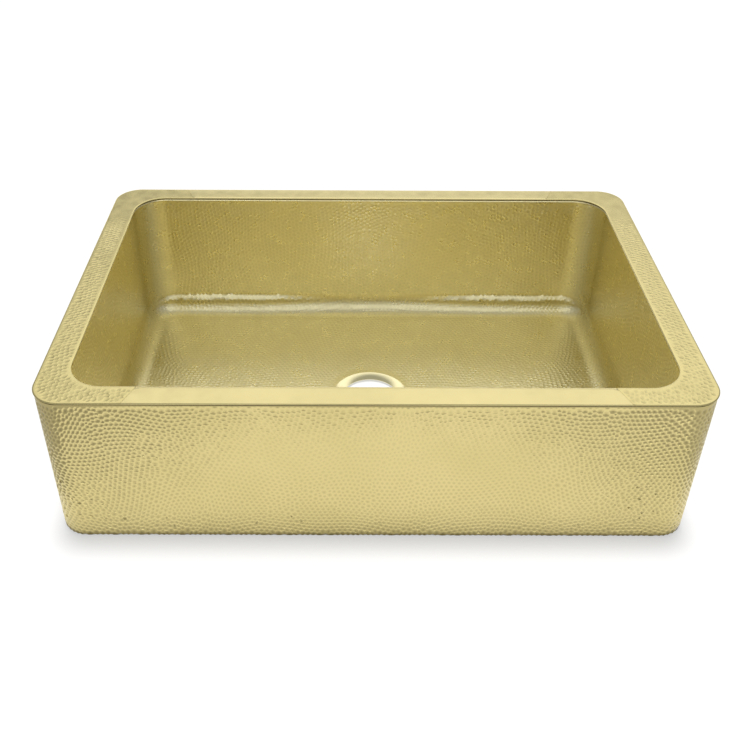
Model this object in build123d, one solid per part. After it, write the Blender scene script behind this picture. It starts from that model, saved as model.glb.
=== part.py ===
from build123d import *
import os

# A double-walled brass farmhouse sink: a hammered bowl inside an outer skin, with a flat rim
# on top of both. Lengths are in millimetres. X runs along the sink, the apron faces -Y and
# Z is up. The origin is on the surface the sink stands on, under the middle of its box.

# Overall size
sink_length = 838.2
sink_depth = 558.8
sink_height = 228.6
outer_corner_radius = 38.0

# Brass stock
bowl_sheet = 1.6
skin_sheet = 1.6
stay_sheet = 1.6
rim_thickness = 3.0

# Rim strips
front_rim_width = 34.0
back_rim_width = 32.0
side_rim_width = 37.5
rim_inner_corner_radius = 46.0
rim_edge_break = 0.6
rim_overhang = 1.0
rim_groove_height = 1.9
rim_groove_depth = 2.4
rim_joint_from_end = 127.0
rim_joint_slant = 14.0

# Bowl
floor_height = 9.0
bowl_cove_radius = 30.0
bowl_flange_width = 10.0
bowl_flange_edge_break = 1.6

# Drain
drain_hole_radius = 44.45
drain_from_middle = 6.0
drain_ring_radius = 60.0
drain_ring_thickness = 3.0
drain_ring_lap = 12.0
floor_fall = 2.5
floor_fall_radius = 170.0

# Outer skin
skin_top_edge_break = 1.2
skin_bottom_bend = 3.5
skin_top_flange = 12.0
skin_bottom_flange = 24.0
apron_return = 60.0
back_return = 60.0

# Seam strips behind the four upright seams
seam_strip_width = 25.0
seam_strip_thickness = 1.6
seam_strip_end_gap = 3.0

# Stays between the walls
stay_height = 60.0
stay_flange = 18.0
stay_bend = 2.4
stay_below_rim = 75.0
stay_corner_gap = 80.0

# Channels under the floor
channel_width = 38.0
channel_bend = 2.4
channel_cove_gap = 24.0
channel_dish_gap = 11.0

# Sizes that follow from those above
rim_underside = sink_height - rim_thickness
rim_opening_length = sink_length - 2 * side_rim_width
rim_opening_depth = sink_depth - front_rim_width - back_rim_width
rim_opening_middle = (front_rim_width - back_rim_width) / 2
rim_opening_front = rim_opening_middle - rim_opening_depth / 2
rim_opening_back = rim_opening_middle + rim_opening_depth / 2

bowl_length = rim_opening_length + 2 * rim_overhang
bowl_depth = rim_opening_depth + 2 * rim_overhang
bowl_corner_radius = rim_inner_corner_radius + rim_overhang
floor_underside = floor_height - bowl_sheet
drain_ring_top = floor_height - floor_fall
drain_lap_radius = drain_ring_radius + drain_ring_lap

skin_length = sink_length - 2 * rim_overhang
skin_depth = sink_depth - 2 * rim_overhang
skin_corner_radius = outer_corner_radius - rim_overhang
front_seam = -sink_depth / 2 + outer_corner_radius + apron_return
back_seam = sink_depth / 2 - outer_corner_radius - back_return


def rounded_block(length, depth, radius, bottom, top, middle=0.0):
    """An upright block with rounded corners, from bottom to top, centred on Y = middle."""
    outline = RectangleRounded(length, depth, radius)
    return Pos(0, middle, bottom) * extrude(outline, top - bottom)


def edges_at_height(solid, height):
    """The edges of a solid that lie flat at one height."""
    return solid.edges().filter_by_position(Axis.Z, height, height)


def rim_layer(inset, bottom, top):
    """A flat layer of the rim, from bottom to top, set in by the same amount at both its edges."""
    outer = rounded_block(
        sink_length - 2 * inset, sink_depth - 2 * inset, outer_corner_radius - inset, bottom, top
    )
    opening = rounded_block(
        rim_opening_length + 2 * inset,
        rim_opening_depth + 2 * inset,
        rim_inner_corner_radius + inset,
        bottom,
        top,
        rim_opening_middle,
    )
    return outer - opening


def rim_ring():
    """The whole rim before it is cut into strips. Its upper edges are broken, and a groove
    under both edges leaves the dark line between the rim and the walls."""
    groove_top = rim_underside + rim_groove_height
    upper = rim_layer(0, groove_top, sink_height)
    upper = chamfer(edges_at_height(upper, sink_height), rim_edge_break)
    return upper + rim_layer(rim_groove_depth, rim_underside, groove_top)


def rim_strip_region(inner_y, outer_y):
    """The space of a front or back rim strip, between its two slanting joints."""
    inner = sink_length / 2 - rim_joint_from_end
    outer = inner + rim_joint_slant
    corners = [(-inner, inner_y), (inner, inner_y), (outer, outer_y), (-outer, outer_y)]
    outline = Polygon(*corners, align=None)
    return Pos(0, 0, rim_underside) * extrude(outline, rim_thickness, dir=(0, 0, 1))


def rim_strips():
    """The front and back strips, and the two sides that carry the rounded corners."""
    ring = rim_ring()
    front_region = rim_strip_region(rim_opening_front, -sink_depth / 2)
    back_region = rim_strip_region(rim_opening_back, sink_depth / 2)
    sides = (ring - front_region - back_region).solids().sort_by(Axis.X)
    return {
        "rim_front": ring & front_region,
        "rim_back": ring & back_region,
        "rim_left": sides[0],
        "rim_right": sides[-1],
    }


def dish(top):
    """A shallow cone that falls from top to the flat land round the drain, by the floor's fall."""
    below = (Align.CENTER, Align.CENTER, Align.MAX)
    cone = Cone(drain_lap_radius, floor_fall_radius, floor_fall, align=below)
    return Pos(0, drain_from_middle, top) * cone


def bowl():
    """One sheet: walls, cove and a floor that falls to the drain, with an out-turned top flange."""
    outer = rounded_block(
        bowl_length + 2 * bowl_sheet,
        bowl_depth + 2 * bowl_sheet,
        bowl_corner_radius + bowl_sheet,
        floor_underside,
        rim_underside,
        rim_opening_middle,
    )
    outer = fillet(edges_at_height(outer, floor_underside), bowl_cove_radius + bowl_sheet)
    flange = rounded_block(
        bowl_length + 2 * bowl_flange_width,
        bowl_depth + 2 * bowl_flange_width,
        bowl_corner_radius + bowl_flange_width,
        rim_underside - bowl_sheet,
        rim_underside,
        rim_opening_middle,
    )
    body = outer + flange + dish(floor_underside)
    inside = rounded_block(
        bowl_length,
        bowl_depth,
        bowl_corner_radius,
        floor_height,
        rim_underside,
        rim_opening_middle,
    )
    body -= fillet(edges_at_height(inside, floor_height), bowl_cove_radius)
    body -= dish(floor_height)
    ring_seat = Cylinder(drain_ring_radius, floor_height, align=(Align.CENTER, Align.CENTER, Align.MIN))
    body -= Pos(0, drain_from_middle, 0) * ring_seat
    flange_top = body.faces().sort_by(Axis.Z)[-1]
    return chamfer(flange_top.inner_wires()[0].edges(), bowl_flange_edge_break)


def drain_seat():
    """The smooth ring the strainer seats on: flush in the floor, with a lap brazed below it."""
    top = drain_ring_top
    bottom = drain_ring_top - drain_ring_thickness
    lap_top = drain_ring_top - bowl_sheet
    profile = Plane.XZ * Polygon(
        (drain_hole_radius, bottom),
        (drain_lap_radius, bottom),
        (drain_lap_radius, lap_top),
        (drain_ring_radius, lap_top),
        (drain_ring_radius, top),
        (drain_hole_radius, top),
        align=None,
    )
    return Pos(0, drain_from_middle, 0) * revolve(profile, Axis.Z)


def skin():
    """The outer skin as one closed band, turned in at the top and at the bottom."""
    outer = rounded_block(skin_length, skin_depth, skin_corner_radius, 0, rim_underside)
    outer = fillet(edges_at_height(outer, 0), skin_bottom_bend)
    outer = chamfer(edges_at_height(outer, rim_underside), skin_top_edge_break)
    inner = rounded_block(
        skin_length - 2 * skin_sheet,
        skin_depth - 2 * skin_sheet,
        skin_corner_radius - skin_sheet,
        skin_sheet,
        rim_underside - skin_sheet,
    )
    inner = fillet(edges_at_height(inner, skin_sheet), skin_bottom_bend - skin_sheet)
    band = outer - inner
    band -= rounded_block(
        skin_length - 2 * skin_top_flange,
        skin_depth - 2 * skin_top_flange,
        skin_corner_radius - skin_top_flange,
        sink_height / 2,
        rim_underside,
    )
    band -= rounded_block(
        skin_length - 2 * skin_bottom_flange,
        skin_depth - 2 * skin_bottom_flange,
        skin_corner_radius - skin_bottom_flange,
        0,
        sink_height / 2,
    )
    return band


def skin_panels():
    """The apron and back panel, which wrap the corners, and the two side panels between them."""
    band = skin()
    front_zone = Pos(0, front_seam, 0) * Box(
        sink_length, sink_depth, sink_height, align=(Align.CENTER, Align.MAX, Align.MIN)
    )
    back_zone = Pos(0, back_seam, 0) * Box(
        sink_length, sink_depth, sink_height, align=(Align.CENTER, Align.MIN, Align.MIN)
    )
    sides = (band - front_zone - back_zone).solids().sort_by(Axis.X)
    return {
        "front_apron": band & front_zone,
        "back_panel": band & back_zone,
        "left_side_panel": sides[0],
        "right_side_panel": sides[-1],
    }


def seam_strips():
    """A flat strip behind each upright seam, on the inside of the skin."""
    bottom = skin_bottom_bend + seam_strip_end_gap
    top = rim_underside - skin_sheet - seam_strip_end_gap
    against_wall = (Align.MAX, Align.CENTER, Align.MIN)
    strip = Box(seam_strip_thickness, seam_strip_width, top - bottom, align=against_wall)
    wall = skin_length / 2 - skin_sheet
    right_front = Pos(wall, front_seam, bottom) * strip
    right_back = Pos(wall, back_seam, bottom) * strip
    return {
        "seam_strip_front_left": mirror(right_front, Plane.YZ),
        "seam_strip_front_right": right_front,
        "seam_strip_back_left": mirror(right_back, Plane.YZ),
        "seam_strip_back_right": right_back,
    }


def bent_stay(gap):
    """A Z-shaped stay that fills a gap along +Y, with one flange flat on each wall."""
    half = stay_sheet / 2
    centre_line = FilletPolyline(
        (-stay_flange, half),
        (0, half),
        (0, gap - half),
        (stay_flange, gap - half),
        radius=stay_bend - half,
    )
    section = trace(centre_line, stay_sheet)
    return extrude(section, stay_height)


def stays():
    """The stays between the bowl and the skin: three front, three back and two on each side."""
    bottom = rim_underside - stay_below_rim - stay_height
    bowl_outside_x = bowl_length / 2 + bowl_sheet
    bowl_outside_front = rim_opening_middle - bowl_depth / 2 - bowl_sheet
    bowl_outside_back = rim_opening_middle + bowl_depth / 2 + bowl_sheet
    skin_inside_x = skin_length / 2 - skin_sheet
    skin_inside_y = skin_depth / 2 - skin_sheet
    front_stay = bent_stay(bowl_outside_front + skin_inside_y)
    back_stay = bent_stay(skin_inside_y - bowl_outside_back)
    side_stay = bent_stay(skin_inside_x - bowl_outside_x)
    end_x = bowl_length / 2 - bowl_corner_radius - stay_corner_gap
    end_y = bowl_depth / 2 - bowl_corner_radius - stay_corner_gap
    made = {}
    for place, x in (("left", -end_x), ("centre", 0), ("right", end_x)):
        made[f"front_stay_{place}"] = Pos(x, -skin_inside_y, bottom) * front_stay
        made[f"back_stay_{place}"] = Pos(x, bowl_outside_back, bottom) * back_stay
    for place, y in (("front", rim_opening_middle - end_y), ("back", rim_opening_middle + end_y)):
        made[f"right_stay_{place}"] = Pos(skin_inside_x, y, bottom) * Rot(0, 0, 90) * side_stay
        made[f"left_stay_{place}"] = Pos(-skin_inside_x, y, bottom) * Rot(0, 0, -90) * side_stay
    return made


def floor_channel():
    """A strip bent down on both sides, which carries the floor and stops at the skin's flanges."""
    half = stay_sheet / 2
    side = channel_width / 2 - half
    centre_line = FilletPolyline(
        (-side, 0),
        (-side, floor_underside - half),
        (side, floor_underside - half),
        (side, 0),
        radius=channel_bend - half,
    )
    section = Plane.XZ * trace(centre_line, stay_sheet)
    length = skin_depth - 2 * skin_bottom_flange
    return Pos(0, length / 2, 0) * extrude(section, length)


def floor_channels():
    """Four channels, clear of the dished middle of the floor."""
    channel = floor_channel()
    near_x = floor_fall_radius + channel_dish_gap + channel_width / 2
    far_x = bowl_length / 2 - bowl_cove_radius - channel_cove_gap - channel_width / 2
    places = {
        "floor_channel_far_left": -far_x,
        "floor_channel_left": -near_x,
        "floor_channel_right": near_x,
        "floor_channel_far_right": far_x,
    }
    return {name: Pos(x, 0, 0) * channel for name, x in places.items()}


def sink_pieces():
    """Every piece of the sink by name."""
    pieces = {"bowl": bowl(), "drain_seat": drain_seat()}
    pieces.update(rim_strips())
    pieces.update(skin_panels())
    pieces.update(seam_strips())
    pieces.update(stays())
    pieces.update(floor_channels())
    return pieces


os.makedirs("parts", exist_ok=True)
for name, piece in sink_pieces().items():
    export_step(piece, f"parts/{name}.step")
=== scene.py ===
import math

import bmesh
import bpy
import numpy as np
from mathutils import Matrix, Vector
from mathutils.geometry import delaunay_2d_cdt


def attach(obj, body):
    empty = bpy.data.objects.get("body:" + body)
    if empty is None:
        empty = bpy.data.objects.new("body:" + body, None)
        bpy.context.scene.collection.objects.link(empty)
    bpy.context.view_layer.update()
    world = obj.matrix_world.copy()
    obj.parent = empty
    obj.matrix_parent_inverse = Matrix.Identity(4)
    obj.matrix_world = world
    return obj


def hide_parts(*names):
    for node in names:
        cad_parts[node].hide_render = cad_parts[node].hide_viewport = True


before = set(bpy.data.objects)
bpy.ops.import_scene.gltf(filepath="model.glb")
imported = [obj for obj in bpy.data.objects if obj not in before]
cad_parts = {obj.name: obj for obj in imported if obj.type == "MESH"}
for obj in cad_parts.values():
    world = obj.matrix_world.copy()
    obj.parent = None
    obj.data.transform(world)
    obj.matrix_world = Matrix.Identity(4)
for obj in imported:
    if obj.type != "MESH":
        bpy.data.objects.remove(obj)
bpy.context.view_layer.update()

# ---------------------------------------------------------------------------------------------
# The camera stands in front of the apron, a little to the left of the sink's middle, and looks
# down at it by 35 degrees. Its three angles are in radians.
# ---------------------------------------------------------------------------------------------

mm = 0.001

photo_width = 750
lens_pixels = 919.34
camera_place = Vector((-33.55, -1117.05, 935.55)) * mm
camera_down = 0.6133
camera_turn = -0.0059
camera_roll = 0.0069
principal_x = 353.7
principal_y = 323.9

camera_data = bpy.data.cameras.new("photo_camera")
camera_data.sensor_width = 36.0
camera_data.lens = lens_pixels / photo_width * camera_data.sensor_width
camera_data.shift_x = (photo_width / 2 - principal_x) / photo_width
camera_data.shift_y = (principal_y - photo_width / 2) / photo_width
camera_data.clip_start = 0.05
camera_data.clip_end = 60.0
camera = bpy.data.objects.new("photo_camera", camera_data)
bpy.context.scene.collection.objects.link(camera)
camera.matrix_world = (
    Matrix.Translation(camera_place)
    @ Matrix.Rotation(camera_turn, 4, "Z")
    @ Matrix.Rotation(math.pi / 2 - camera_down, 4, "X")
    @ Matrix.Rotation(camera_roll, 4, "Z")
)
bpy.context.scene.camera = camera
bpy.context.scene.view_settings.view_transform = "Standard"

# ---------------------------------------------------------------------------------------------
# The bowl is one sheet of brass, pressed with rounded walls, a wide cove and a floor that falls
# to the drain, then hammered by hand all over its inside, in close rows that curl with the
# worker's arm. Its top edge is turned out and brazed under the rim.
# ---------------------------------------------------------------------------------------------

sink_half_length = 419.1 * mm
sink_half_depth = 279.4 * mm
sink_height = 228.6 * mm
rim_thickness = 3.0 * mm
front_rim_width = 34.0 * mm
back_rim_width = 32.0 * mm
side_rim_width = 37.5 * mm
rim_overhang = 1.0 * mm
rim_underside = sink_height - rim_thickness
opening_half_length = sink_half_length - side_rim_width
opening_half_depth = sink_half_depth - (front_rim_width + back_rim_width) / 2
opening_corner = 46.0 * mm

bowl_sheet = 1.6 * mm
bowl_half_length = opening_half_length + rim_overhang
bowl_half_depth = opening_half_depth + rim_overhang
bowl_middle = (front_rim_width - back_rim_width) / 2
bowl_corner = opening_corner + rim_overhang
bowl_cove = 30.0 * mm
bowl_bend = 2.4 * mm
bowl_flange = 10.0 * mm
bowl_floor = 9.0 * mm
drain_middle = 6.0 * mm
drain_ring = 60.0 * mm
drain_lap_width = 12.0 * mm
drain_lap = drain_ring + drain_lap_width
floor_fall = 2.5 * mm
floor_fall_radius = 170.0 * mm

mark_pitch = 6.8 * mm
mark_scatter = 0.14 * mark_pitch
mark_crowding = 0.86 * mark_pitch
mark_edge_gap = 0.74 * mark_pitch
mark_ring_gap = 0.6 * mark_pitch
bowl_mark_depth = 0.72 * mm
mark_depth_spread = 0.30
arm_drifts = np.array((300, 190, 120)) * mm
drifts_of_a_length = 2
rows_overhang = 30.0 * mm
settling_rounds = 5


def round_length(half_length, half_depth, corner):
    """The distance once round an upright rounded block."""
    return 4 * (half_length + half_depth - 2 * corner) + 2 * math.pi * corner


def round_walk(half_length, half_depth, corner, steps):
    """Walks round that block from the middle of its front, to the left. Gives the point that
    each step reaches and the outward direction there."""
    flat_x = half_length - corner
    flat_y = half_depth - corner
    bend = corner * math.pi / 2
    legs = (
        (flat_x, (0, -half_depth), (-1, 0), (0, -1)),
        (bend, (-flat_x, -flat_y), -90, None),
        (2 * flat_y, (-half_length, -flat_y), (0, 1), (-1, 0)),
        (bend, (-flat_x, flat_y), -180, None),
        (2 * flat_x, (-flat_x, half_depth), (1, 0), (0, 1)),
        (bend, (flat_x, flat_y), 90, None),
        (2 * flat_y, (half_length, flat_y), (0, -1), (1, 0)),
        (bend, (flat_x, -flat_y), 0, None),
        (flat_x, (flat_x, -half_depth), (-1, 0), (0, -1)),
    )
    steps = np.mod(steps, round_length(half_length, half_depth, corner))
    places = np.zeros((len(steps), 2))
    outward = np.zeros((len(steps), 2))
    start = 0.0
    for length, at, heading, side in legs:
        here = (steps >= start) & (steps <= start + length + 1e-9)
        gone = steps[here] - start
        if side:
            places[here] = np.array(at) + gone[:, None] * np.array(heading)
            outward[here] = side
        else:
            angle = math.radians(heading) - gone / corner
            outward[here] = np.c_[np.cos(angle), np.sin(angle)]
            places[here] = np.array(at) + corner * outward[here]
        start += length
    return places, outward


def hammer_rows(low, high, turn, curl, seed):
    """Marks in close rows over a flat region. The rows run at an angle of turn degrees. Slow
    drifts of the arm curl them, and each blow lands a little off its place."""
    rng = np.random.default_rng(seed)
    low, high = np.array(low), np.array(high)
    reach = np.linalg.norm(high - low) / 2 + rows_overhang
    rows = np.arange(-reach, reach, mark_pitch * math.sqrt(3) / 2)
    along, across = np.meshgrid(np.arange(-reach, reach, mark_pitch), rows)
    along = along + (np.arange(len(rows)) % 2)[:, None] * mark_pitch / 2
    angle = math.radians(turn)
    lengthwise = np.array([math.cos(angle), math.sin(angle)])
    crosswise = np.array([-lengthwise[1], lengthwise[0]])
    marks = along.reshape(-1, 1) * lengthwise + across.reshape(-1, 1) * crosswise
    marks += (low + high) / 2
    drift = np.zeros_like(marks)
    for wave_length in arm_drifts:
        for _ in range(drifts_of_a_length):
            heading = rng.uniform(0, 2 * math.pi)
            wave = np.array([math.cos(heading), math.sin(heading)])
            start = rng.uniform(0, 2 * math.pi)
            swing = np.cos(2 * math.pi / wave_length * marks @ wave + start)
            drift += wave_length * swing[:, None] * np.array([wave[1], -wave[0]])
    marks += curl * drift
    marks += rng.normal(0, mark_scatter, marks.shape)
    return marks[np.all((marks > low) & (marks < high), axis=1)]


def clear_of(marks, edge, gap):
    """The marks that keep a gap from every point of an edge."""
    kept = np.ones(len(marks), bool)
    for point in edge:
        near = np.flatnonzero(np.abs(marks - point).max(axis=1) < gap)
        kept[near[np.linalg.norm(marks[near] - point, axis=1) < gap]] = False
    return marks[kept]


def neighbours(flat_points, fence=()):
    """The triangles between neighbouring points of a flat layout. A fence is a closed ring of
    sides, each a pair of points, and only the triangles inside it are kept."""
    places = [Vector(point) for point in flat_points / mm]
    inside_only = 1 if fence else 0
    found = delaunay_2d_cdt(places, list(fence), [], inside_only, 1e-6)
    given = np.array([own[0] for own in found[3]])
    return given[np.array(found[2])]


def settled(laid, fixed):
    """The layout after every mark but the fixed first ones has moved towards the middle of its
    neighbours, as a worker keeps an even distance between blows."""
    for _ in range(settling_rounds):
        triangles = neighbours(laid)
        near = np.concatenate([triangles[:, (0, 1)], triangles[:, (1, 2)], triangles[:, (2, 0)]])
        near = np.concatenate([near, near[:, ::-1]])
        total = np.zeros_like(laid)
        np.add.at(total, near[:, 0], laid[near[:, 1]])
        count = np.bincount(near[:, 0], minlength=len(laid))[:, None]
        moved = 0.5 * laid + 0.5 * total / np.maximum(count, 1)
        laid = np.concatenate([laid[:fixed], moved[fixed:]])
    return laid


class SheetWork:
    """The points and faces of one piece of sheet while it is laid out."""

    def __init__(self):
        self.points = []
        self.ridge = []
        self.hollow = []
        self.painted_shade = []
        self.count = 0
        self.faces = []

    def lay(self, points, ridge=False, hollow=0.0, painted_shade=0.0):
        """Adds points, and gives their numbers."""
        self.points.append(points)
        self.ridge.append(np.full(len(points), ridge))
        self.hollow.append(np.zeros(len(points)) + hollow)
        self.painted_shade.append(np.zeros(len(points)) + painted_shade)
        self.count += len(points)
        return np.arange(self.count - len(points), self.count)

    def strip(self, first, second, closed=True):
        """Four-sided faces between two rows of as many points."""
        here = np.arange(len(first) if closed else len(first) - 1)
        there = (here + 1) % len(first)
        self.faces += np.c_[first[here], first[there], second[there], second[here]].tolist()

    def dishes(self, triangles, meetings, painted_shade=0.0):
        """One round dish for each mark. Its lowest point is the mark, and its edge is the
        ridge between the places where three marks meet."""
        owner = np.tile(self.lay(meetings, ridge=True, painted_shade=painted_shade), 3)
        a, b, c = triangles.T
        sides = np.concatenate([np.c_[a, b], np.c_[b, c], np.c_[c, a]])
        key = sides.min(axis=1) * self.count + sides.max(axis=1)
        order = np.argsort(key, kind="stable")
        sides, owner, key = sides[order], owner[order], key[order]
        first = np.flatnonzero(key[:-1] == key[1:])
        alone = np.ones(len(key), bool)
        alone[first] = alone[first + 1] = False
        self.faces += np.c_[sides[first, 0], owner[first], owner[first + 1]].tolist()
        self.faces += np.c_[sides[first, 1], owner[first + 1], owner[first]].tolist()
        self.faces += np.c_[sides[alone], owner[alone]].tolist()

    def piece(self, name, material):
        """The finished mesh. Ridges stay crisp, and so does every edge over 35 degrees."""
        mesh = bpy.data.meshes.new(name)
        mesh.from_pydata(np.concatenate(self.points).tolist(), [], self.faces)
        shape = bmesh.new()
        shape.from_mesh(mesh)
        bmesh.ops.recalc_face_normals(shape, faces=shape.faces)
        shape.to_mesh(mesh)
        shape.free()
        mesh.polygons.foreach_set("use_smooth", np.ones(len(mesh.polygons), bool))
        mesh.set_sharp_from_angle(angle=math.radians(35))
        ridge = np.concatenate(self.ridge)
        ends = np.zeros(len(mesh.edges) * 2, np.int32)
        sharp = np.zeros(len(mesh.edges), bool)
        mesh.edges.foreach_get("vertices", ends)
        mesh.edges.foreach_get("use_edge_sharp", sharp)
        sharp |= ridge[ends.reshape(-1, 2)].all(axis=1)
        mesh.edges.foreach_set("use_edge_sharp", sharp)
        for layer, values in (("hollow", self.hollow), ("painted_shade", self.painted_shade)):
            attribute = mesh.attributes.new(layer, "FLOAT", "POINT")
            attribute.data.foreach_set("value", np.concatenate(values).astype(np.float32))
        mesh.materials.append(material)
        made = bpy.data.objects.new(name, mesh)
        bpy.context.scene.collection.objects.link(made)
        return made


# Tone patches and smudges are noises: how fine each is, and between which of its values it
# changes. Smudges make the polish uneven, and the ridges are a little better polished.
tone_patches = 9
tone_patch_ends = (0.35, 0.65)
smudges = 60
smudge_ends = (0.3, 0.7)
smudge_roughness = 0.05
ridge_polish = 0.05
# The hollows of the hammer marks are painted darker, as painted shade, between these values of
# hollow.
hollow_shade_ends = (0.1, 0.8)
# Painted shade: the dark brass that grooves, the cove's crease and the panels' feet are darkened
# towards.
painted_shade_colour = (0.09, 0.065, 0.015, 1)


def brass(
    name, colour, worn_colour, roughness, grain, grain_depth,
    grain_stretch=(1, 1, 1), hollow_shade_tone=1.0,
):
    """Brass with a slow change of tone and fine brushed grain. Its hollows are painted darker
    than the ridges, as painted shade, and grooves and creases take a painted shade too."""
    material = bpy.data.materials.new(name)
    material.use_nodes = True
    nodes, links = material.node_tree.nodes, material.node_tree.links
    shader = nodes["Principled BSDF"]
    shader.inputs["Metallic"].default_value = 1.0
    where = nodes.new("ShaderNodeTexCoord")

    def noise(scale, detail, stretch=(1, 1, 1)):
        mapping = nodes.new("ShaderNodeMapping")
        mapping.inputs["Scale"].default_value = stretch
        links.new(where.outputs["Object"], mapping.inputs["Vector"])
        texture = nodes.new("ShaderNodeTexNoise")
        texture.inputs["Scale"].default_value = scale
        texture.inputs["Detail"].default_value = detail
        links.new(mapping.outputs["Vector"], texture.inputs["Vector"])
        return texture.outputs["Fac"]

    def spread(value, low, high, out_low, out_high):
        ramp = nodes.new("ShaderNodeMapRange")
        ramp.inputs["From Min"].default_value = low
        ramp.inputs["From Max"].default_value = high
        ramp.inputs["To Min"].default_value = out_low
        ramp.inputs["To Max"].default_value = out_high
        links.new(value, ramp.inputs["Value"])
        return ramp.outputs["Result"]

    tone = nodes.new("ShaderNodeMix")
    tone.data_type = "RGBA"
    tone.inputs[6].default_value = (*colour, 1)
    tone.inputs[7].default_value = (*worn_colour, 1)
    links.new(spread(noise(tone_patches, detail=3), *tone_patch_ends, 0, 1), tone.inputs[0])
    # Painted shade: the colour goes towards a dark brass in grooves, creases and at the panels'
    # feet.
    painted_shade = nodes.new("ShaderNodeAttribute")
    painted_shade.attribute_name = "painted_shade"
    darkened = nodes.new("ShaderNodeMix")
    darkened.data_type = "RGBA"
    darkened.inputs[7].default_value = painted_shade_colour
    links.new(painted_shade.outputs["Fac"], darkened.inputs[0])
    links.new(tone.outputs[2], darkened.inputs[6])
    hollow = nodes.new("ShaderNodeAttribute")
    hollow.attribute_name = "hollow"
    polished = nodes.new("ShaderNodeMix")
    polished.data_type = "RGBA"
    polished.blend_type = "MULTIPLY"
    polished.inputs[0].default_value = 1.0
    links.new(darkened.outputs[2], polished.inputs[6])
    hollow_shade = spread(hollow.outputs["Fac"], *hollow_shade_ends, 1, hollow_shade_tone)
    links.new(hollow_shade, polished.inputs[7])
    links.new(polished.outputs[2], shader.inputs["Base Color"])

    rough = nodes.new("ShaderNodeMath")
    rough.operation = "ADD"
    smudged = noise(smudges, detail=4)
    smudged = spread(smudged, *smudge_ends, -smudge_roughness, smudge_roughness)
    worn = spread(hollow.outputs["Fac"], 0, 1, roughness - ridge_polish, roughness)
    links.new(smudged, rough.inputs[0])
    links.new(worn, rough.inputs[1])
    links.new(rough.outputs["Value"], shader.inputs["Roughness"])

    bump = nodes.new("ShaderNodeBump")
    bump.inputs["Strength"].default_value = 1.0
    bump.inputs["Distance"].default_value = grain_depth
    links.new(noise(grain, detail=2, stretch=grain_stretch), bump.inputs["Height"])
    links.new(bump.outputs["Normal"], shader.inputs["Normal"])
    return material


hammered_brass = brass(
    "hammered_brass",
    colour=(0.685, 0.578, 0.252),
    worn_colour=(0.725, 0.612, 0.275),
    roughness=0.18,
    grain=900,
    grain_depth=0.004 * mm,
    hollow_shade_tone=0.66,
)


def bowl_wall(around, height):
    """The inside of the wall: a point and the way it faces, round the bowl and up the wall."""
    place, outward = round_walk(bowl_half_length, bowl_half_depth, bowl_corner, around)
    points = np.c_[place[:, 0], place[:, 1] + bowl_middle, height]
    return points, np.c_[-outward, np.zeros(len(height))]


def floor_drop(x, y):
    """How far the floor has fallen towards the drain at a place."""
    from_drain = np.hypot(x, y - drain_middle)
    share = np.clip((floor_fall_radius - from_drain) / (floor_fall_radius - drain_lap), 0, 1)
    return floor_fall * share


bowl_flat_x = bowl_half_length - bowl_corner
bowl_flat_y = bowl_half_depth - bowl_corner
bowl_floor_corner = bowl_corner - bowl_cove
cove_arc = bowl_cove * math.pi / 2

# Towards the corners the far cove has a low ledge: how far down the cove, and how high it is.
# A line of painted shade runs along the crease of the far cove. Both die away round the corners.
ledge_places = np.array((0, 1.5, 4, 7, 9.5, 11.5, 13.5, 16.5, 22, 30, 40)) * mm
ledge_rises = np.array((0, 0.7, 2.5, 4.9, 5.6, 5.3, 4.2, 3.4, 2.4, 1.0, 0)) * mm
ledge_starts = 60.0 * mm
ledge_full = 190.0 * mm
cove_shade_down = 13.0 * mm
cove_shade_reach = 6.5 * mm
cove_shade_full = 0.32
far_cove_focus = 4


def past_core(laid):
    """For each laid point, the nearest place between the centres of the corners, and how far
    away it is."""
    core = np.clip(laid, (-bowl_flat_x, -bowl_flat_y), (bowl_flat_x, bowl_flat_y))
    return core, np.linalg.norm(laid - core, axis=1)


def bowl_base(laid):
    """The inside of the floor and cove, from a layout with the cove opened out flat: a point and
    the way it faces."""
    core, reach = past_core(laid)
    outward = (laid - core) / np.maximum(reach, 1e-9)[:, None]
    angle = np.clip(reach - bowl_floor_corner, 0, cove_arc) / bowl_cove
    flat_reach = np.minimum(reach, bowl_floor_corner) + bowl_cove * np.sin(angle)
    place = core + outward * flat_reach[:, None]
    height = bowl_floor + bowl_cove * (1 - np.cos(angle))
    height -= floor_drop(place[:, 0], place[:, 1] + bowl_middle)
    points = np.c_[place[:, 0], place[:, 1] + bowl_middle, height]
    facing = np.c_[-outward * np.sin(angle)[:, None], np.cos(angle)]
    ledge = np.interp(bowl_cove * (math.pi / 2 - angle), ledge_places, ledge_rises)
    ledge *= np.clip(outward[:, 1], 0, 1) ** far_cove_focus
    ledge *= np.clip((np.abs(place[:, 0]) - ledge_starts) / (ledge_full - ledge_starts), 0, 1)
    return points + facing * ledge[:, None], facing


def cove_shade(laid):
    """A line of painted shade along the crease of the far cove."""
    core, reach = past_core(laid)
    down = bowl_floor_corner + cove_arc - reach
    far = np.clip((laid[:, 1] - core[:, 1]) / np.maximum(reach, 1e-9), 0, 1) ** far_cove_focus
    share = np.clip(1 - np.abs(down - cove_shade_down) / cove_shade_reach, 0, 1)
    return cove_shade_full * far * share


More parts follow.
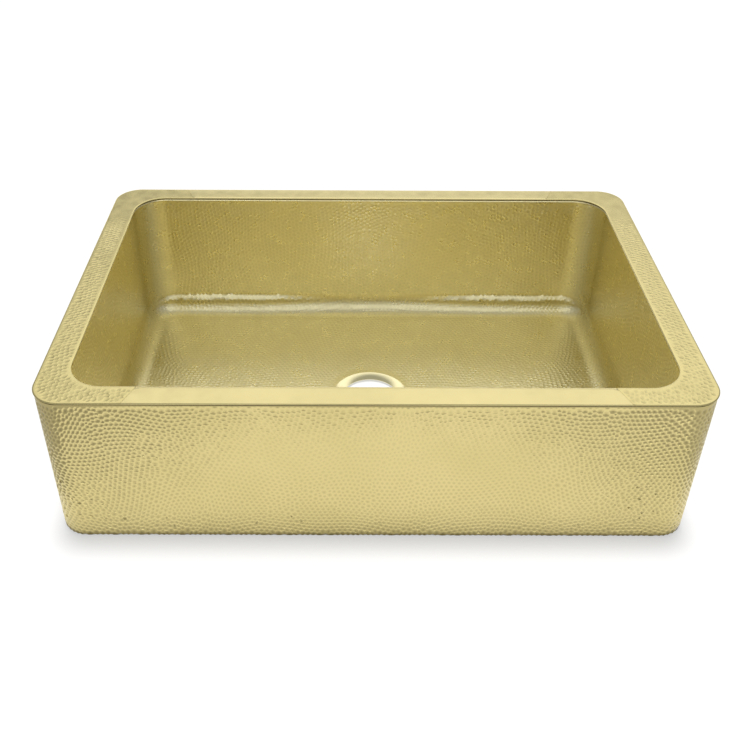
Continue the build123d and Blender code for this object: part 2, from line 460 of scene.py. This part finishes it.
def mark_depths(laid, triangles, depth, seed):
    """Each blow lands a little harder or softer than the last, and a mark that is crowded by
    its neighbours is shallower."""
    rng = np.random.default_rng(seed)
    room = np.full(len(laid), mark_pitch)
    for a, b in ((0, 1), (1, 2), (2, 0)):
        apart = np.linalg.norm(laid[triangles[:, a]] - laid[triangles[:, b]], axis=1)
        np.minimum.at(room, triangles[:, a], apart)
        np.minimum.at(room, triangles[:, b], apart)
    crowded = np.clip(room / mark_crowding, 0, 1) ** 2
    return depth * (1 + mark_depth_spread * rng.uniform(-1, 1, len(laid))) * crowded


bowl_work = SheetWork()
wall_top = rim_underside - bowl_bend
wall_foot = bowl_floor + bowl_cove
bowl_round = round_length(bowl_half_length, bowl_half_depth, bowl_corner)
bowl_columns = round(bowl_round / mark_pitch)
bowl_steps = np.arange(bowl_columns + 1) * bowl_round / bowl_columns

# The wall, opened out flat: its top edge, its foot, the line where it closes, then its marks.
wall_lines = round((wall_top - wall_foot) / mark_pitch)
wall_heights = np.linspace(wall_foot, wall_top, wall_lines + 1)[1:-1]
wall_edge = np.concatenate([
    np.c_[bowl_steps, np.full(bowl_columns + 1, wall_top)],
    np.c_[bowl_steps, np.full(bowl_columns + 1, wall_foot)],
    np.c_[np.zeros(len(wall_heights)), wall_heights],
    np.c_[np.full(len(wall_heights), bowl_round), wall_heights],
])
wall_marks = hammer_rows((0, wall_foot), (bowl_round, wall_top), turn=90, curl=0.03, seed=11)
wall_marks = clear_of(wall_marks, wall_edge, mark_edge_gap)
wall_laid = settled(np.concatenate([wall_edge, wall_marks]), len(wall_edge))
wall_triangles = neighbours(wall_laid)
wall_seats, wall_facing = bowl_wall(wall_laid[:, 0], wall_laid[:, 1])
wall_depths = mark_depths(wall_laid, wall_triangles, bowl_mark_depth, seed=12)
wall_depths[:bowl_columns + 1] = 0
wall_seats -= wall_facing * wall_depths[:, None]

lip_ids = bowl_work.lay(wall_seats[:bowl_columns])
foot_ids = bowl_work.lay(wall_seats[bowl_columns + 1:2 * bowl_columns + 1])
seam_start = 2 * bowl_columns + 2
seam_ids = bowl_work.lay(wall_seats[seam_start:seam_start + len(wall_heights)])
wall_mark_ids = bowl_work.lay(wall_seats[len(wall_edge):], hollow=1.0)
wall_ids = np.concatenate([
    lip_ids, lip_ids[:1], foot_ids, foot_ids[:1], seam_ids, seam_ids, wall_mark_ids,
])
wall_middles = wall_laid[wall_triangles].mean(axis=1)
wall_meetings, _ = bowl_wall(wall_middles[:, 0], wall_middles[:, 1])


def outside_hole(triangles):
    """The triangles of a floor layout that don't fill the drain's opening."""
    in_hole = (triangles >= bowl_columns) & (triangles < bowl_columns + ring_count)
    return triangles[~in_hole.all(axis=1)]


# The floor and cove: the foot of the wall, the edge round the drain ring, then the marks.
foot_place, foot_outward = round_walk(
    bowl_half_length, bowl_half_depth, bowl_corner, bowl_steps[:-1]
)
foot_laid = foot_place - foot_outward * (bowl_cove - cove_arc)
ring_count = round(2 * math.pi * drain_ring / mark_pitch)
ring_turns = np.arange(ring_count) / ring_count * 2 * math.pi
ring_round = np.c_[np.cos(ring_turns), np.sin(ring_turns)]
drain_laid = np.array([0, drain_middle - bowl_middle])
hole_laid = drain_laid + drain_ring * ring_round
base_low = foot_laid.min(axis=0)
base_marks = hammer_rows(base_low, -base_low, turn=0, curl=0.03, seed=21)
_, base_reach = past_core(base_marks)
base_marks = base_marks[base_reach < bowl_floor_corner + cove_arc - mark_pitch / 2]
from_drain = np.linalg.norm(base_marks - drain_laid, axis=1)
base_marks = base_marks[from_drain > drain_ring + mark_ring_gap]
base_marks = clear_of(base_marks, np.concatenate([foot_laid, hole_laid]), mark_edge_gap)
base_laid = np.concatenate([foot_laid, hole_laid, base_marks])
base_laid = settled(base_laid, bowl_columns + ring_count)
base_triangles = outside_hole(neighbours(base_laid))
base_seats, base_facing = bowl_base(base_laid)
base_depths = mark_depths(base_laid, base_triangles, bowl_mark_depth, seed=22)
from_drain = np.linalg.norm(base_laid - drain_laid, axis=1)
base_depths *= np.clip((from_drain - drain_ring) / (drain_lap - drain_ring), 0, 1)
base_seats -= base_facing * base_depths[:, None]

hole_ids = bowl_work.lay(base_seats[bowl_columns:bowl_columns + ring_count])
base_mark_ids = bowl_work.lay(
    base_seats[bowl_columns + ring_count:],
    hollow=1.0,
    painted_shade=cove_shade(base_laid[bowl_columns + ring_count:]),
)
base_ids = np.concatenate([foot_ids, hole_ids, base_mark_ids])
base_middles = base_laid[base_triangles].mean(axis=1)
base_meetings, _ = bowl_base(base_middles)

bowl_work.dishes(
    np.concatenate([wall_ids[wall_triangles], base_ids[base_triangles]]),
    np.concatenate([wall_meetings, base_meetings]),
    painted_shade=np.concatenate([np.zeros(len(wall_meetings)), cove_shade(base_middles)]),
)

# The turned-out edge and the plain outside, down to the underside of the floor.
profile = []
for angle in np.radians((30, 60, 90)):
    profile.append((bowl_bend * (1 - math.cos(angle)), wall_top + bowl_bend * math.sin(angle)))
profile.append((bowl_flange, rim_underside))
profile.append((bowl_flange, rim_underside - bowl_sheet))
profile.append((bowl_sheet, rim_underside - bowl_sheet))
cove_outside = bowl_cove + bowl_sheet
for angle in np.radians((0, 15, 30, 45, 60, 75, 90)):
    profile.append((
        cove_outside * math.cos(angle) - bowl_cove,
        wall_foot - cove_outside * math.sin(angle),
    ))
last_ids = lip_ids
for offset, height in profile:
    place = foot_place + foot_outward * offset
    points = np.c_[place[:, 0], place[:, 1] + bowl_middle, np.full(bowl_columns, height)]
    next_ids = bowl_work.lay(points)
    bowl_work.strip(last_ids, next_ids)
    last_ids = next_ids

under_edge = foot_place - foot_outward * bowl_cove
under_circles = [
    drain_laid + radius * ring_round
    for radius in (drain_ring, drain_lap, floor_fall_radius)
]
under_laid = np.concatenate([under_edge, *under_circles])
under_x, under_y = under_laid[:, 0], under_laid[:, 1] + bowl_middle
under_height = bowl_floor - bowl_sheet - floor_drop(under_x, under_y)
under_points = np.c_[under_x, under_y, under_height]
under_ids = np.concatenate([last_ids, bowl_work.lay(under_points[bowl_columns:])])
bowl_work.faces += under_ids[outside_hole(neighbours(under_laid))].tolist()
bowl_work.strip(hole_ids, under_ids[bowl_columns:bowl_columns + ring_count])

# The bowl's brass is painted paler and brighter than the skin's, to lift the inside of the bowl
# against its own shade.
bowl_brass_painted_brighter = brass(
    "bowl_brass_painted_brighter",
    colour=(0.88, 0.80, 0.472),
    worn_colour=(0.915, 0.835, 0.50),
    roughness=0.34,
    grain=900,
    grain_depth=0.004 * mm,
    hollow_shade_tone=0.94,
)
hammered_bowl = bowl_work.piece("hammered_bowl", bowl_brass_painted_brighter)
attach(hammered_bowl, "root")
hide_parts("bowl")

# ---------------------------------------------------------------------------------------------
# The outer skin is four brass sheets, turned in at the top and the bottom and hammered on the
# outside. The apron and the back panel wrap round the corners, and meet the two side panels
# in brazed upright seams.
# ---------------------------------------------------------------------------------------------

outer_corner = 38.0 * mm
panel_return = 60.0 * mm
skin_sheet = 1.6 * mm
skin_half_length = sink_half_length - rim_overhang
skin_half_depth = sink_half_depth - rim_overhang
skin_corner = outer_corner - rim_overhang
skin_top_bend = 0.6 * mm
skin_bottom_bend = 2.0 * mm
skin_top_flange = 12.0 * mm
skin_bottom_flange = 24.0 * mm
seam_from_middle = sink_half_depth - outer_corner - panel_return
seam_gap = 0.1 * mm
skin_mark_depth = 1.2 * mm
skin_faint_mark = 0.40
faint_half_width = 150.0 * mm
faint_fade = 180.0 * mm
faint_above = 130.0 * mm
foot_shade_top = 9.5 * mm
foot_shade_fade = 8.0 * mm
blow_lean = 1.3 * mm

skin_round = round_length(skin_half_length, skin_half_depth, skin_corner)
bottom_arc = skin_bottom_bend * math.pi / 2
skin_wall_top = rim_underside - skin_top_bend
skin_rise = bottom_arc + skin_wall_top - skin_bottom_bend

# The last of the top bend, under the rim, is painted dark as the shade in the seam's groove.
painted_shade_from = skin_wall_top + 0.6 * skin_top_bend
shade_line_width = 0.15 * mm


def skin_outside(around, rise):
    """The outside of the skin: a point and the way it faces, round the sink and up from the
    start of the bottom bend."""
    place, outward = round_walk(skin_half_length, skin_half_depth, skin_corner, around)
    angle = np.clip(rise, 0, bottom_arc) / skin_bottom_bend
    place = place - outward * (skin_bottom_bend * (1 - np.sin(angle)))[:, None]
    height = skin_bottom_bend * (1 - np.cos(angle)) + np.maximum(rise - bottom_arc, 0)
    return np.c_[place, height], np.c_[outward * np.sin(angle)[:, None], -np.cos(angle)]


def mark_strength(from_middle, rise):
    """The blows are faint high up in the middle of a panel, and full near its foot and ends."""
    ends = (from_middle - faint_half_width) / faint_fade
    foot = (faint_above - rise) / faint_above
    share = np.clip(np.maximum(ends, foot), 0, 1)
    return skin_faint_mark + (1 - skin_faint_mark) * share


def foot_shade(rise):
    """Painted shade at the panel's foot, darker towards the bottom."""
    return np.clip((foot_shade_top - rise) / foot_shade_fade, 0, 1)


def skin_panel(name, node, start, end, seed):
    """One panel of the skin, from one seam to the next. They are given as distances round the
    skin, from the middle of the front."""
    work = SheetWork()
    start, end = start + seam_gap, end - seam_gap
    columns = round((end - start) / mark_pitch)
    steps = np.linspace(start, end, columns + 1)
    lines = round(skin_rise / mark_pitch)
    rises = np.linspace(0, skin_rise, lines + 1)
    top_edge = np.c_[steps, np.full(columns + 1, skin_rise)]
    bottom_edge = np.c_[steps, np.zeros(columns + 1)]
    start_edge = np.c_[np.full(lines - 1, start), rises[1:-1]]
    end_edge = np.c_[np.full(lines - 1, end), rises[1:-1]]
    edge = np.concatenate([top_edge, bottom_edge, start_edge, end_edge])
    marks = hammer_rows((start, 0), (end, skin_rise), turn=0, curl=0.035, seed=seed)
    marks = clear_of(marks, edge, mark_edge_gap)
    laid = settled(np.concatenate([edge, marks]), len(edge))
    strength = mark_strength(np.abs(laid[:, 0] - (start + end) / 2), laid[:, 1])
    strength[:len(edge)] = 0
    triangles = neighbours(laid)
    seats, facing = skin_outside(laid[:, 0], laid[:, 1] - blow_lean * strength)
    depths = mark_depths(laid, triangles, skin_mark_depth, seed + 1) * strength
    seats -= facing * depths[:, None]
    # The painted shade in each mark's hollow follows its strength, and the foot takes a painted
    # shade.
    ids = work.lay(seats, hollow=strength, painted_shade=foot_shade(laid[:, 1]))
    middles = laid[triangles].mean(axis=1)
    meetings, _ = skin_outside(middles[:, 0], middles[:, 1])
    work.dishes(triangles, meetings, painted_shade=foot_shade(middles[:, 1]))
    top_ids, bottom_ids, start_ids, end_ids = np.split(
        ids[:len(edge)], np.cumsum([columns + 1, columns + 1, lines - 1])
    )

    profile = []
    for angle in np.radians((25, 50, 75, 90)):
        profile.append((
            skin_top_bend * (math.cos(angle) - 1),
            skin_wall_top + skin_top_bend * math.sin(angle),
        ))
    profile.append((-skin_top_bend - shade_line_width, rim_underside))
    profile.append((-skin_top_flange, rim_underside))
    profile.append((-skin_top_flange, rim_underside - skin_sheet))
    profile.append((-skin_sheet, rim_underside - skin_sheet))
    inside_bend = skin_bottom_bend - skin_sheet
    for angle in np.radians((0, 30, 60, 90)):
        profile.append((
            inside_bend * math.cos(angle) - skin_bottom_bend,
            skin_bottom_bend - inside_bend * math.sin(angle),
        ))
    profile.append((-skin_bottom_flange, skin_sheet))
    profile.append((-skin_bottom_flange, 0))
    place, outward = round_walk(skin_half_length, skin_half_depth, skin_corner, steps)
    last_ids = top_ids
    start_loop, end_loop = [last_ids[0]], [last_ids[-1]]
    for offset, height in profile:
        points = np.c_[place + outward * offset, np.full(columns + 1, height)]
        next_ids = work.lay(points, painted_shade=height > painted_shade_from)
        work.strip(last_ids, next_ids, closed=False)
        start_loop.append(next_ids[0])
        end_loop.append(next_ids[-1])
        last_ids = next_ids
    work.strip(last_ids, bottom_ids, closed=False)
    work.faces.append([*start_loop, bottom_ids[0], *start_ids])
    work.faces.append([*end_loop, bottom_ids[-1], *end_ids])

    panel = work.piece(name, hammered_brass)
    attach(panel, "root")
    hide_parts(node)


half_round = skin_round / 2
half_wrap = half_round / 2 - seam_from_middle
for name, node, start, end, seed in (
    ("hammered_apron", "front_apron", -half_wrap, half_wrap, 31),
    ("hammered_back_panel", "back_panel", half_round - half_wrap, half_round + half_wrap, 41),
    ("hammered_left_panel", "left_side_panel", half_wrap, half_round - half_wrap, 51),
    (
        "hammered_right_panel", "right_side_panel",
        half_round + half_wrap, skin_round - half_wrap, 61,
    ),
):
    skin_panel(name, node, start, end, seed)

# ---------------------------------------------------------------------------------------------
# The rim is four flat brass strips brazed over both walls: a front and a back strip, and two
# sides that carry the rounded corners. They meet in slanting butt joints. The front and back
# are brushed smooth, and the sides are hammered except near their rear ends.
# ---------------------------------------------------------------------------------------------

joint_from_end = 127.0 * mm
joint_slant = 14.0 * mm
joint_inner = sink_half_length - joint_from_end
joint_outer = joint_inner + joint_slant
rim_edge_width = 2.0 * mm
rim_inner_edge_width = 5.0 * mm
rim_edge_height = 0.9 * mm
rim_joint_edge = 0.2 * mm
rim_joint_points = 4
rim_joint_play = 0.02 * mm
rim_groove_height = 1.9 * mm
rim_groove_top = rim_underside + rim_groove_height
rim_groove_depth = 2.4 * mm
rim_mark_depth = 0.55 * mm
rim_mark_edge_gap = 0.62 * mark_pitch
rim_step = 4.0 * mm
nearly_straight = 0.02
hammering_fades = 145.0 * mm
hammering_ends = 190.0 * mm

brushed_brass = brass(
    "brushed_brass",
    colour=(0.73, 0.63, 0.30),
    worn_colour=(0.77, 0.665, 0.32),
    roughness=0.26,
    grain=700,
    grain_stretch=(0.06, 1, 1),
    grain_depth=0.006 * mm,
)
hammered_rim_brass = brass(
    "hammered_rim_brass",
    colour=(0.71, 0.61, 0.275),
    worn_colour=(0.75, 0.645, 0.295),
    roughness=0.24,
    grain=900,
    grain_depth=0.004 * mm,
    hollow_shade_tone=0.86,
)


def moved_in(outline, distances):
    """A closed outline with each of its sides moved inwards by its own distance."""
    after = np.roll(outline, -1, axis=0)
    ahead = after - outline
    ahead /= np.linalg.norm(ahead, axis=1)[:, None]
    area = np.sum(outline[:, 0] * after[:, 1] - outline[:, 1] * after[:, 0])
    inward = np.c_[-ahead[:, 1], ahead[:, 0]] * np.sign(area)
    before, before_distance = np.roll(inward, 1, axis=0), np.roll(distances, 1)
    turn = inward[:, 0] * before[:, 1] - inward[:, 1] * before[:, 0]
    straight = np.abs(turn) < nearly_straight
    safe = np.where(straight, 1, turn)
    corner = np.c_[
        (distances * before[:, 1] - before_distance * inward[:, 1]) / safe,
        (before_distance * inward[:, 0] - distances * before[:, 0]) / safe,
    ]
    middle = (inward + before) / 2
    middle *= ((distances + before_distance) / 2 / np.sum(middle * middle, axis=1))[:, None]
    return outline + np.where(straight[:, None], middle, corner)


def inside_outline(points, outline):
    """Which points lie inside a closed outline."""
    inside = np.zeros(len(points), bool)
    for a, b in zip(outline, np.roll(outline, -1, axis=0)):
        crosses = (a[1] > points[:, 1]) != (b[1] > points[:, 1])
        if a[1] != b[1]:
            at = a[0] + (points[:, 1] - a[1]) / (b[1] - a[1]) * (b[0] - a[0])
            inside ^= crosses & (points[:, 0] < at)
    return inside


def rim_face(work, row, seed):
    """The flat top or underside of a strip, inside one row of points. With a seed it is
    hammered, up to where the hammering ends."""
    edge = np.concatenate(work.points)[row][:, :2]
    fence = [(i, (i + 1) % len(edge)) for i in range(len(edge))]
    if seed is None:
        work.faces += row[neighbours(edge, fence)].tolist()
        return
    blows = hammer_rows(edge.min(axis=0), edge.max(axis=0), turn=90, curl=0.02, seed=seed)
    blows = clear_of(blows[inside_outline(blows, edge)], edge, rim_mark_edge_gap)
    fading = (hammering_ends - blows[:, 1]) / (hammering_ends - hammering_fades)
    strength = np.clip(fading, 0, 1)
    laid = np.concatenate([edge, blows])
    triangles = neighbours(laid, fence)
    depths = mark_depths(laid, triangles, rim_mark_depth, seed + 1)[len(edge):] * strength
    ids = np.concatenate([row, work.lay(np.c_[blows, sink_height - depths], hollow=strength)])
    middles = laid[triangles].mean(axis=1)
    work.dishes(ids[triangles], np.c_[middles, np.full(len(middles), sink_height)])


def rim_strip(name, node, outer_ends, inner_ends, material, seed=None):
    """One strip of the rim, between its two joints. The ends are distances round its outer
    edge and round the opening, both from the middle of the front. With a seed the strip is
    hammered, and without one it is smooth, with a softer edge towards the bowl."""
    work = SheetWork()
    outer_start, outer_end = outer_ends
    inner_start, inner_end = inner_ends
    outer_count = round((outer_end - outer_start) / rim_step)
    inner_count = round((inner_end - inner_start) / rim_step)
    outer, _ = round_walk(
        sink_half_length, sink_half_depth, outer_corner,
        np.linspace(outer_start, outer_end, outer_count),
    )
    inner, _ = round_walk(
        opening_half_length, opening_half_depth, opening_corner,
        np.linspace(inner_end, inner_start, inner_count),
    )
    inner[:, 1] += bowl_middle
    share = np.linspace(0, 1, rim_joint_points + 2)[1:-1, None]
    end_joint = outer[-1] * (1 - share) + inner[0] * share
    start_joint = inner[-1] * (1 - share) + outer[0] * share
    outline = np.concatenate([outer, end_joint, inner, start_joint])
    joint_side = np.zeros(len(outline), bool)
    joint_side[outer_count - 1:outer_count + rim_joint_points] = True
    joint_side[-rim_joint_points - 1:] = True
    sides = np.full(len(outline), rim_edge_width)
    if seed is None:
        sides[outer_count + rim_joint_points:] = rim_inner_edge_width
    sides[joint_side] = rim_joint_edge

    groove = np.where(joint_side, rim_joint_play, rim_groove_depth)
    profile = [(groove, rim_underside), (groove, rim_groove_top), (0 * groove, rim_groove_top)]
    for angle in np.radians((0, 18, 36, 54, 72, 90)):
        height = sink_height - rim_edge_height * (1 - math.sin(angle))
        profile.append((sides * (1 - math.cos(angle)), height))
    rows = []
    for inset, height in profile:
        line = moved_in(outline, inset)
        # The points in the groove under the lip are painted dark, as the groove's shade.
        in_groove = height <= rim_groove_top and np.any(inset > 0)
        rows.append(work.lay(np.c_[line, np.full(len(line), height)], painted_shade=in_groove))
        if len(rows) > 1:
            work.strip(rows[-2], rows[-1])
    rim_face(work, rows[0], None)
    rim_face(work, rows[-1], seed)

    strip = work.piece(name, material)
    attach(strip, "root")
    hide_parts(node)


outer_half = round_length(sink_half_length, sink_half_depth, outer_corner) / 2
inner_half = round_length(opening_half_length, opening_half_depth, opening_corner) / 2
rim_strip(
    "front_rim_strip", "rim_front",
    (-joint_outer, joint_outer), (-joint_inner, joint_inner),
    brushed_brass,
)
rim_strip(
    "back_rim_strip", "rim_back",
    (outer_half - joint_outer, outer_half + joint_outer),
    (inner_half - joint_inner, inner_half + joint_inner),
    brushed_brass,
)
rim_strip(
    "left_rim_strip", "rim_left",
    (joint_outer, outer_half - joint_outer), (joint_inner, inner_half - joint_inner),
    hammered_rim_brass, seed=91,
)
rim_strip(
    "right_rim_strip", "rim_right",
    (outer_half + joint_outer, 2 * outer_half - joint_outer),
    (inner_half + joint_inner, 2 * inner_half - joint_inner),
    hammered_rim_brass, seed=101,
)

# ---------------------------------------------------------------------------------------------
# The drain seat is a turned brass ring, smooth on top for the strainer's flange and slightly
# dished towards the hole. It lies flush in the floor, and its wider lower lap is brazed to the
# floor's underside.
# ---------------------------------------------------------------------------------------------

drain_hole = 44.45 * mm
drain_ring_thickness = 3.0 * mm
drain_ring_top = bowl_floor - floor_fall
drain_ring_bottom = drain_ring_top - drain_ring_thickness
drain_turns = 144
drain_ring_dish = 2.3 * mm
drain_ring_break = 0.2 * mm
drain_hole_top = drain_ring_top - drain_ring_dish
drain_edge = 0.3 * mm
drain_edge_middle = 0.3 * drain_edge

turned_brass = brass(
    "turned_brass",
    colour=(0.93, 0.845, 0.50),
    worn_colour=(0.96, 0.875, 0.53),
    roughness=0.15,
    grain=500,
    grain_depth=0.008 * mm,
)

seat_profile = (
    (drain_hole, drain_ring_bottom),
    (drain_lap, drain_ring_bottom),
    (drain_lap, drain_ring_top - bowl_sheet),
    (drain_ring, drain_ring_top - bowl_sheet),
    (drain_ring, drain_ring_top - drain_ring_break),
    (drain_ring - drain_ring_break, drain_ring_top),
    (drain_hole + drain_edge, drain_hole_top),
    (drain_hole + drain_edge_middle, drain_hole_top - drain_edge_middle),
    (drain_hole, drain_hole_top - drain_edge),
)
seat_work = SheetWork()
seat_angles = np.arange(drain_turns) / drain_turns * 2 * math.pi
seat_round = np.c_[np.cos(seat_angles), np.sin(seat_angles)]
seat_rows = []
for radius, height in seat_profile:
    place = radius * seat_round + (0, drain_middle)
    seat_rows.append(seat_work.lay(np.c_[place, np.full(drain_turns, height)]))
for row, next_row in zip(seat_rows, seat_rows[1:] + seat_rows[:1]):
    seat_work.strip(row, next_row)
turned_drain_seat = seat_work.piece("turned_drain_seat", turned_brass)
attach(turned_drain_seat, "root")
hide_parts("drain_seat")

# ---------------------------------------------------------------------------------------------
# Between the walls and under the floor everything is bent from plain brass strip as it comes
# from the mill: a strip behind each seam, stays from wall to wall, and four floor channels.
# ---------------------------------------------------------------------------------------------

mill_brass = brass(
    "mill_brass",
    colour=(0.60, 0.50, 0.24),
    worn_colour=(0.68, 0.57, 0.27),
    roughness=0.42,
    grain=400,
    grain_stretch=(0.1, 1, 1),
    grain_depth=0.02 * mm,
)
for node_name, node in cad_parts.items():
    if node_name.startswith("seam_strip") or "stay" in node_name or "channel" in node_name:
        node.data.materials.clear()
        node.data.materials.append(mill_brass)

# ---------------------------------------------------------------------------------------------
# The sink stands on a white studio floor whose middle is painted brighter, a painted pool of
# light, in a white room with a light wall behind it. Wide soft lights hang behind it and over
# the camera, one stands low in front, and a small high lamp casts the short shadow along the
# apron.
# ---------------------------------------------------------------------------------------------

floor_reach = 8.0
floor_drop_under = 0.2 * mm
floor_grey = 0.35
floor_glow_strength = 0.50
floor_pool_edges = (
    # Outside the picture the floor's paint and glow are painted darker, a painted pool of light,
    # so that the brass has something to mirror. Across the edge of the pool, where it starts to
    # fade, where it has faded, and the share of its painted brightness that is left there.
    ((0.0, -1.0, 0.0), 0.582, 0.62, 0.58),
    ((1.0, -0.355, 0.0), 0.606, 0.64, 0.64),
    ((-1.0, -0.34, 0.0), 0.604, 0.64, 0.52),
)
shadow_lamp_strength = 3.4
shadow_lamp_tilt = math.radians(5.5)
shadow_lamp_width = math.radians(11)

floor_mesh = bpy.data.meshes.new("studio_floor")
floor_corners = [(-1, -1), (1, -1), (1, 1), (-1, 1)]
floor_mesh.from_pydata(
    [(x * floor_reach, y * floor_reach, 0) for x, y in floor_corners], [], [(0, 1, 2, 3)]
)
studio_floor = bpy.data.objects.new("studio_floor", floor_mesh)
bpy.context.scene.collection.objects.link(studio_floor)
studio_floor.location.z = -floor_drop_under


def maths(tree, operation, first, second):
    """Two values put together. Each is a socket or a number."""
    node = tree.nodes.new("ShaderNodeMath")
    node.operation = operation
    for socket, value in zip(node.inputs, (first, second)):
        if isinstance(value, float):
            socket.default_value = value
        else:
            tree.links.new(value, socket)
    return node.outputs["Value"]


def soft_edge(tree, place, slope, start, end, low, high):
    """A value that goes softly from low to high, while place moves along slope from start to
    end."""
    across = tree.nodes.new("ShaderNodeVectorMath")
    across.operation = "DOT_PRODUCT"
    across.inputs[1].default_value = slope
    tree.links.new(place, across.inputs[0])
    edge = tree.nodes.new("ShaderNodeMapRange")
    edge.interpolation_type = "SMOOTHSTEP"
    edge.inputs["From Min"].default_value = start
    edge.inputs["From Max"].default_value = end
    edge.inputs["To Min"].default_value = low
    edge.inputs["To Max"].default_value = high
    tree.links.new(across.outputs["Value"], edge.inputs["Value"])
    return edge.outputs["Result"]


# The floor's glow is seen by the camera and mirrored in the brass, but lights nothing else.
white_floor = bpy.data.materials.new("white_floor")
white_floor.use_nodes = True
tree = white_floor.node_tree
tree.nodes.remove(tree.nodes["Principled BSDF"])
light_path = tree.nodes.new("ShaderNodeLightPath")
seen = light_path.outputs["Is Camera Ray"]
for ray in ("Is Glossy Ray", "Is Transmission Ray"):
    seen = maths(tree, "MAXIMUM", seen, light_path.outputs[ray])
where = tree.nodes.new("ShaderNodeTexCoord")
# The painted pool of light: the floor's paint and glow are brightest in the middle and fade at
# its edges.
pool = 1.0
for slope, start, end, far_level in floor_pool_edges:
    share = soft_edge(tree, where.outputs["Object"], slope, start, end, 1.0, far_level)
    pool = maths(tree, "MINIMUM", share, pool)
tint = tree.nodes.new("ShaderNodeMix")
tint.data_type = "RGBA"
tint.inputs[6].default_value = (0, 0, 0, 1)
tint.inputs[7].default_value = (floor_grey, floor_grey, floor_grey, 1)
tree.links.new(pool, tint.inputs[0])
floor_paint = tree.nodes.new("ShaderNodeBsdfDiffuse")
tree.links.new(tint.outputs[2], floor_paint.inputs["Color"])
painted_pool_seen = maths(tree, "MULTIPLY", seen, pool)
floor_glow = tree.nodes.new("ShaderNodeEmission")
glow_strength = maths(tree, "MULTIPLY", painted_pool_seen, floor_glow_strength)
tree.links.new(glow_strength, floor_glow.inputs["Strength"])
floor_sum = tree.nodes.new("ShaderNodeAddShader")
tree.links.new(floor_paint.outputs["BSDF"], floor_sum.inputs[0])
tree.links.new(floor_glow.outputs["Emission"], floor_sum.inputs[1])
tree.links.new(floor_sum.outputs["Shader"], tree.nodes["Material Output"].inputs["Surface"])
floor_mesh.materials.append(white_floor)

shadow_lamp_data = bpy.data.lights.new("shadow_lamp", "SUN")
shadow_lamp_data.energy = shadow_lamp_strength
shadow_lamp_data.angle = shadow_lamp_width
shadow_lamp = bpy.data.objects.new("shadow_lamp", shadow_lamp_data)
bpy.context.scene.collection.objects.link(shadow_lamp)
shadow_lamp.rotation_euler = (-shadow_lamp_tilt, 0, 0)
shadow_lamp.visible_glossy = False

room_level = 0.37
room_narrowing = (0.5, 1.0, 1.0)
room_soft_lights = (
    # Towards the light, where it starts and where it is full, and its brightness: high behind
    # the sink, the wall behind it, over the camera, and low in front.
    ((0.05, 0.725, 0.687), 0.94, 0.985, 0.80),
    ((0.0, 1.0, 0.0), 0.89, 0.95, 0.90),
    ((0.0, -0.574, 0.819), 0.90, 0.97, 0.46),
    ((0.0, -1.0, 0.09), 0.94, 0.985, 1.05),
)

# Directions are narrowed sideways first, which makes each light twice as wide.
room = bpy.data.worlds.new("studio_room")
bpy.context.scene.world = room
room.use_nodes = True
tree = room.node_tree
where = tree.nodes.new("ShaderNodeTexCoord")
narrowed = tree.nodes.new("ShaderNodeVectorMath")
narrowed.operation = "MULTIPLY"
narrowed.inputs[1].default_value = room_narrowing
tree.links.new(where.outputs["Generated"], narrowed.inputs[0])
direction = tree.nodes.new("ShaderNodeVectorMath")
direction.operation = "NORMALIZE"
tree.links.new(narrowed.outputs["Vector"], direction.inputs[0])
brightness = room_level
for heading, start, full, amount in room_soft_lights:
    light = soft_edge(tree, direction.outputs["Vector"], heading, start, full, 0.0, amount)
    brightness = maths(tree, "ADD", light, brightness)
background = tree.nodes["Background"]
background.inputs["Color"].default_value = (1, 1, 1, 1)
tree.links.new(brightness, background.inputs["Strength"])
